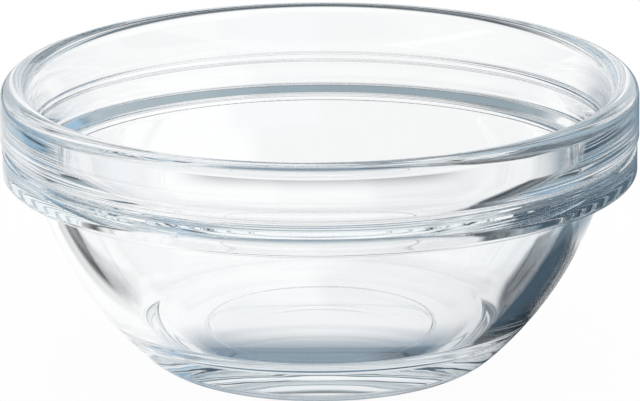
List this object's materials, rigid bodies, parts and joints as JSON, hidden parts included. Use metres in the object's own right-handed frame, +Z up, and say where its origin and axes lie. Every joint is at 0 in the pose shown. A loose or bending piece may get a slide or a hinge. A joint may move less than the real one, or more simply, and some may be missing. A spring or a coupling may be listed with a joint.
{
  "type": "prep bowl",
  "caption": "Small stackable prep bowl of clear pressed glass: round lip, grooved upright collar with a ledge beneath, curved wall, thick base and a flat foot ring.",
  "frame": {"origin": "middle of the foot ring's standing face, on the bowl's axis", "axes": "+Z up along the bowl's axis, out of the mouth; X and Y lie in the standing face and are interchangeable"},
  "size_m": [0.09, 0.09, 0.041],
  "materials": {
    "clear_glass": "clear, fire-polished"
  },
  "bodies": {
    "root": {"glass_bowl": "clear_glass"}
  },
  "joints": []
}
